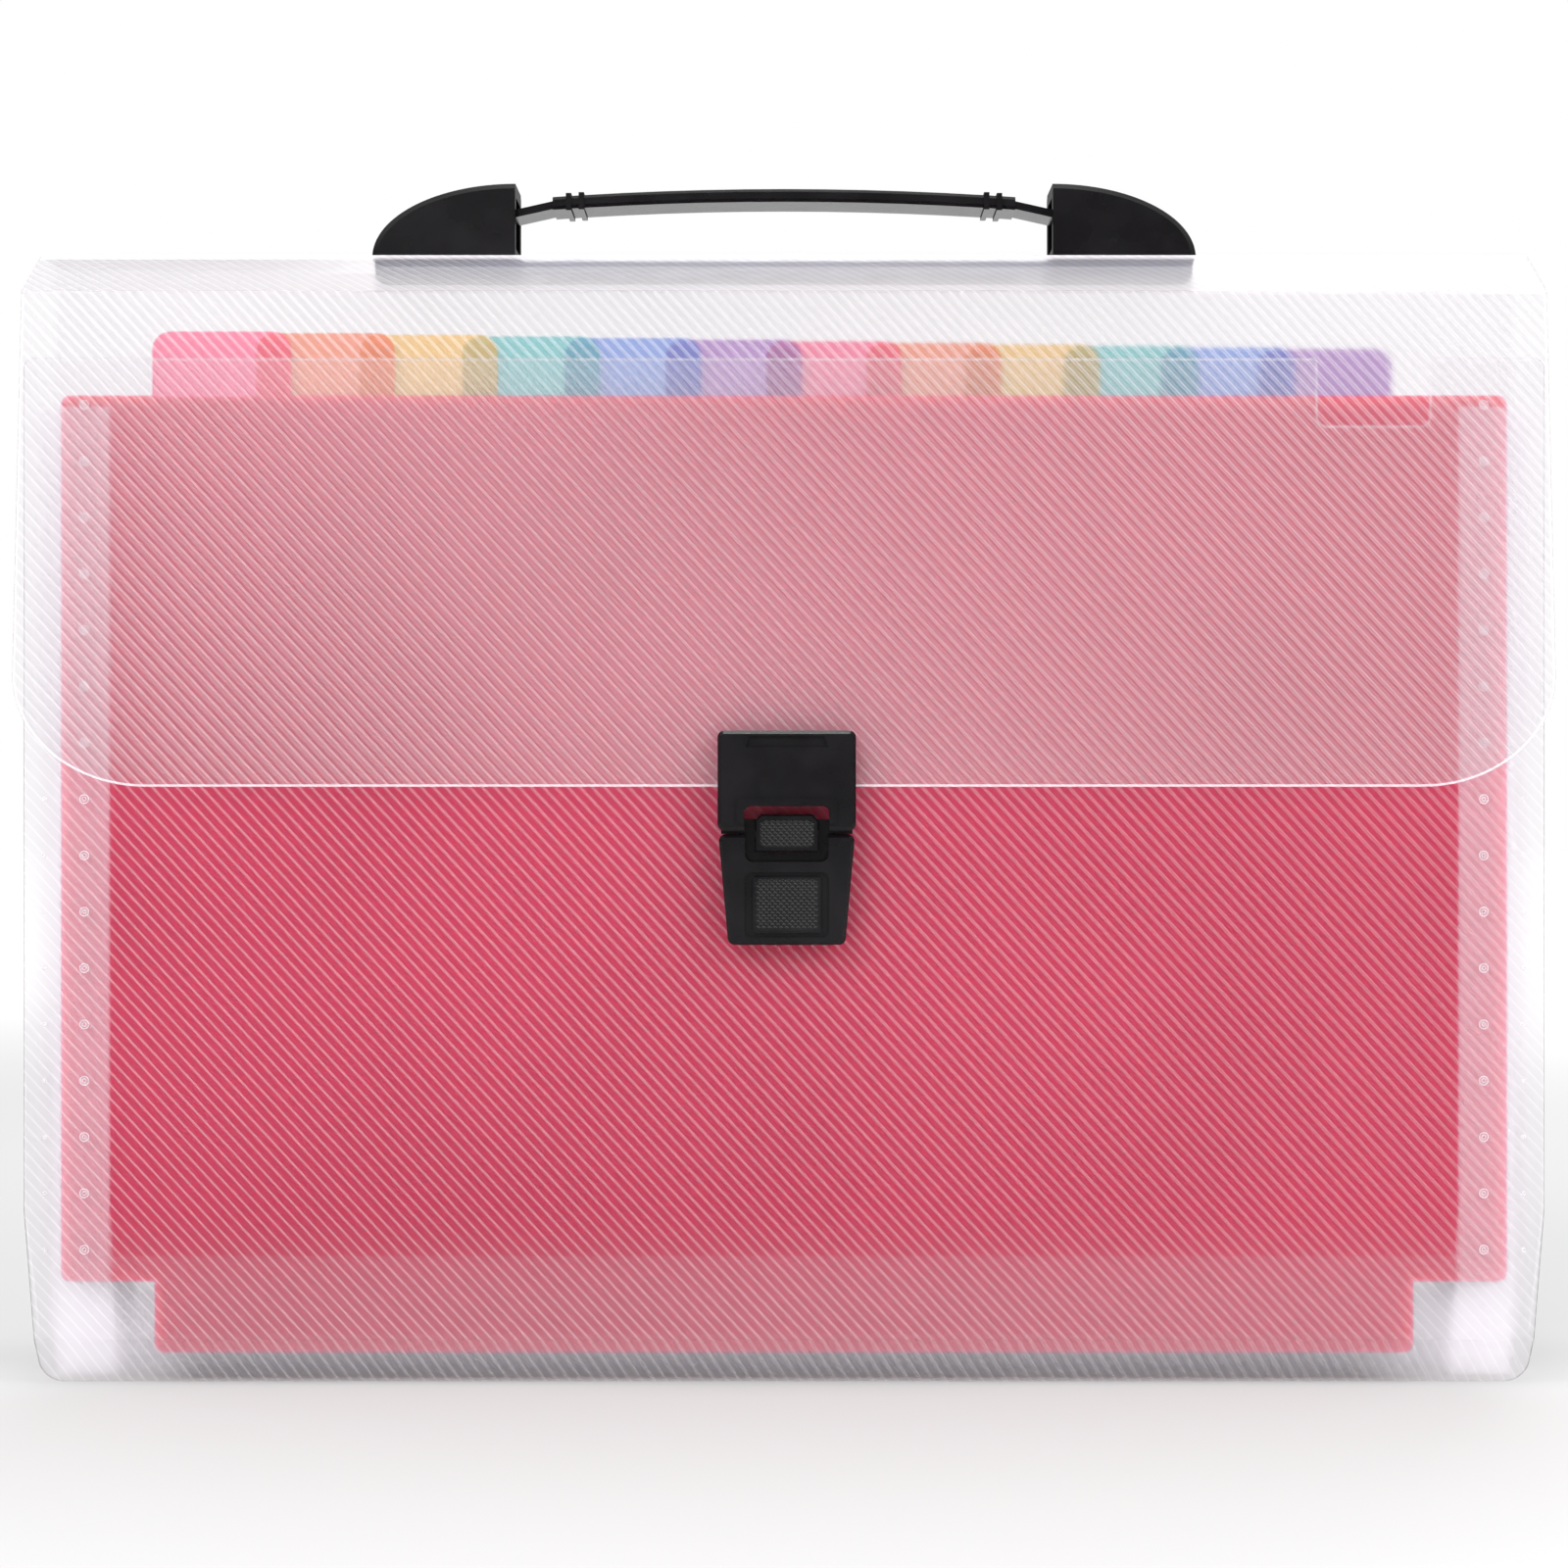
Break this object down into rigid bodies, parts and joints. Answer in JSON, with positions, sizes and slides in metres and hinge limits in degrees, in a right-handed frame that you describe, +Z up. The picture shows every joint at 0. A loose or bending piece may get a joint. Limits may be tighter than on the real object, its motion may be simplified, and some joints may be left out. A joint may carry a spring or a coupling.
{
  "type": "expanding file",
  "caption": "Frosted plastic expanding file: coloured tabbed dividers in a pleated case with a fold-over flap, push clasp and carrying handle.",
  "frame": {"origin": "middle of the bottom of the bounds, on the plane the file stands on", "axes": "+Z up, the front cover and clasp look along -Y, +X to the right seen from the front"},
  "size_m": [0.336, 0.0448, 0.2655],
  "materials": {
    "frosted_cover": "frosted translucent polypropylene with fine embossed diagonal lines",
    "clear_gusset": "clear thin polypropylene",
    "black_moulding": "satin black moulded plastic",
    "blue_black_strip": "satin moulded plastic",
    "pink_sheet": "translucent coloured polypropylene",
    "orange_sheet": "translucent coloured polypropylene",
    "yellow_sheet": "translucent coloured polypropylene",
    "teal_sheet": "translucent coloured polypropylene",
    "blue_sheet": "translucent coloured polypropylene",
    "purple_sheet": "translucent coloured polypropylene"
  },
  "bodies": {
    "back": {"back_panel": "frosted_cover"},
    "spine": {"spine_panel": "frosted_cover", "handle_base": "blue_black_strip", "handle_cap_left": "black_moulding", "handle_cap_right": "black_moulding"},
    "strap": {"handle_strap": "black_moulding"},
    "band": {"top_band": "frosted_cover"},
    "flap": {"flap_panel": "frosted_cover", "clasp_upper": "black_moulding", "clasp_upper_back": "black_moulding"},
    "sheet_12": {"divider_12": "purple_sheet", "pleat_13": "clear_gusset"},
    "sheet_11": {"divider_11": "blue_sheet", "pleat_12": "clear_gusset"},
    "sheet_10": {"divider_10": "teal_sheet", "pleat_11": "clear_gusset"},
    "sheet_09": {"divider_09": "yellow_sheet", "pleat_10": "clear_gusset"},
    "sheet_08": {"divider_08": "orange_sheet", "pleat_09": "clear_gusset"},
    "sheet_07": {"divider_07": "pink_sheet", "pleat_08": "clear_gusset"},
    "sheet_06": {"divider_06": "purple_sheet", "pleat_07": "clear_gusset"},
    "sheet_05": {"divider_05": "blue_sheet", "pleat_06": "clear_gusset"},
    "sheet_04": {"divider_04": "teal_sheet", "pleat_05": "clear_gusset"},
    "sheet_03": {"divider_03": "yellow_sheet", "pleat_04": "clear_gusset"},
    "sheet_02": {"divider_02": "orange_sheet", "pleat_03": "clear_gusset"},
    "sheet_01": {"divider_01": "pink_sheet", "pleat_02": "clear_gusset"},
    "front": {"front_cover": "frosted_cover", "pleat_01": "clear_gusset", "clasp_lower": "black_moulding", "clasp_lower_back": "black_moulding", "clasp_pad": "black_moulding", "clasp_shelf": "black_moulding"},
    "button": {"clasp_button": "black_moulding"}
  },
  "joints": [
    {"name": "lid_open", "type": "hinge", "parent": "back", "child": "spine", "pos_m": [0, 0.0224, 0.249], "axis": [-1, 0, 0], "range_deg": [0, 90]},
    {"name": "band_unfold", "type": "hinge", "parent": "spine", "child": "band", "pos_m": [0, -0.0013, 0.249], "axis": [-1, 0, 0], "range_deg": [0, 32.08]},
    {"name": "flap_unfold", "type": "hinge", "parent": "band", "child": "flap", "pos_m": [0, -0.0177, 0.2388], "axis": [-1, 0, 0], "range_deg": [0, 58.32]},
    {"name": "handle_lift", "type": "slide", "parent": "spine", "child": "strap", "axis": [0, 0, 1], "range_m": [0, 0.002]},
    {"name": "sheet_12_slide", "type": "slide", "parent": "back", "child": "sheet_12", "axis": [0, -1, 0], "range_m": [0, 0.00645], "deforming": ["pleat_13"]},
    {"name": "sheet_11_slide", "type": "slide", "parent": "back", "child": "sheet_11", "axis": [0, -1, 0], "range_m": [0, 0.0129], "deforming": ["pleat_12"]},
    {"name": "sheet_10_slide", "type": "slide", "parent": "back", "child": "sheet_10", "axis": [0, -1, 0], "range_m": [0, 0.01935], "deforming": ["pleat_11"]},
    {"name": "sheet_09_slide", "type": "slide", "parent": "back", "child": "sheet_09", "axis": [0, -1, 0], "range_m": [0, 0.0258], "deforming": ["pleat_10"]},
    {"name": "sheet_08_slide", "type": "slide", "parent": "back", "child": "sheet_08", "axis": [0, -1, 0], "range_m": [0, 0.03225], "deforming": ["pleat_09"]},
    {"name": "sheet_07_slide", "type": "slide", "parent": "back", "child": "sheet_07", "axis": [0, -1, 0], "range_m": [0, 0.0387], "deforming": ["pleat_08"]},
    {"name": "sheet_06_slide", "type": "slide", "parent": "back", "child": "sheet_06", "axis": [0, -1, 0], "range_m": [0, 0.04515], "deforming": ["pleat_07"]},
    {"name": "sheet_05_slide", "type": "slide", "parent": "back", "child": "sheet_05", "axis": [0, -1, 0], "range_m": [0, 0.0516], "deforming": ["pleat_06"]},
    {"name": "sheet_04_slide", "type": "slide", "parent": "back", "child": "sheet_04", "axis": [0, -1, 0], "range_m": [0, 0.05805], "deforming": ["pleat_05"]},
    {"name": "sheet_03_slide", "type": "slide", "parent": "back", "child": "sheet_03", "axis": [0, -1, 0], "range_m": [0, 0.0645], "deforming": ["pleat_04"]},
    {"name": "sheet_02_slide", "type": "slide", "parent": "back", "child": "sheet_02", "axis": [0, -1, 0], "range_m": [0, 0.07095], "deforming": ["pleat_03"]},
    {"name": "sheet_01_slide", "type": "slide", "parent": "back", "child": "sheet_01", "axis": [0, -1, 0], "range_m": [0, 0.0774], "deforming": ["pleat_02"]},
    {"name": "front_slide", "type": "slide", "parent": "back", "child": "front", "axis": [0, -1, 0], "range_m": [0, 0.08385], "deforming": ["pleat_01"]},
    {"name": "button_press", "type": "slide", "parent": "front", "child": "button", "axis": [0, 1, 0], "range_m": [0, 0.0009], "stiffness_N_per_m": 400}
  ],
  "couplings": [
    {"joint": "band_unfold", "follows": "lid_open", "ratio": 0.35422},
    {"joint": "flap_unfold", "follows": "lid_open", "ratio": 0.64578},
    {"joint": "sheet_12_slide", "follows": "lid_open", "m_per_rad": 0.0040744},
    {"joint": "sheet_11_slide", "follows": "lid_open", "m_per_rad": 0.0081488},
    {"joint": "sheet_10_slide", "follows": "lid_open", "m_per_rad": 0.012223},
    {"joint": "sheet_09_slide", "follows": "lid_open", "m_per_rad": 0.016298},
    {"joint": "sheet_08_slide", "follows": "lid_open", "m_per_rad": 0.020372},
    {"joint": "sheet_07_slide", "follows": "lid_open", "m_per_rad": 0.024446},
    {"joint": "sheet_06_slide", "follows": "lid_open", "m_per_rad": 0.028521},
    {"joint": "sheet_05_slide", "follows": "lid_open", "m_per_rad": 0.032595},
    {"joint": "sheet_04_slide", "follows": "lid_open", "m_per_rad": 0.03667},
    {"joint": "sheet_03_slide", "follows": "lid_open", "m_per_rad": 0.040744},
    {"joint": "sheet_02_slide", "follows": "lid_open", "m_per_rad": 0.044818},
    {"joint": "sheet_01_slide", "follows": "lid_open", "m_per_rad": 0.048893},
    {"joint": "front_slide", "follows": "lid_open", "m_per_rad": 0.052967}
  ]
}
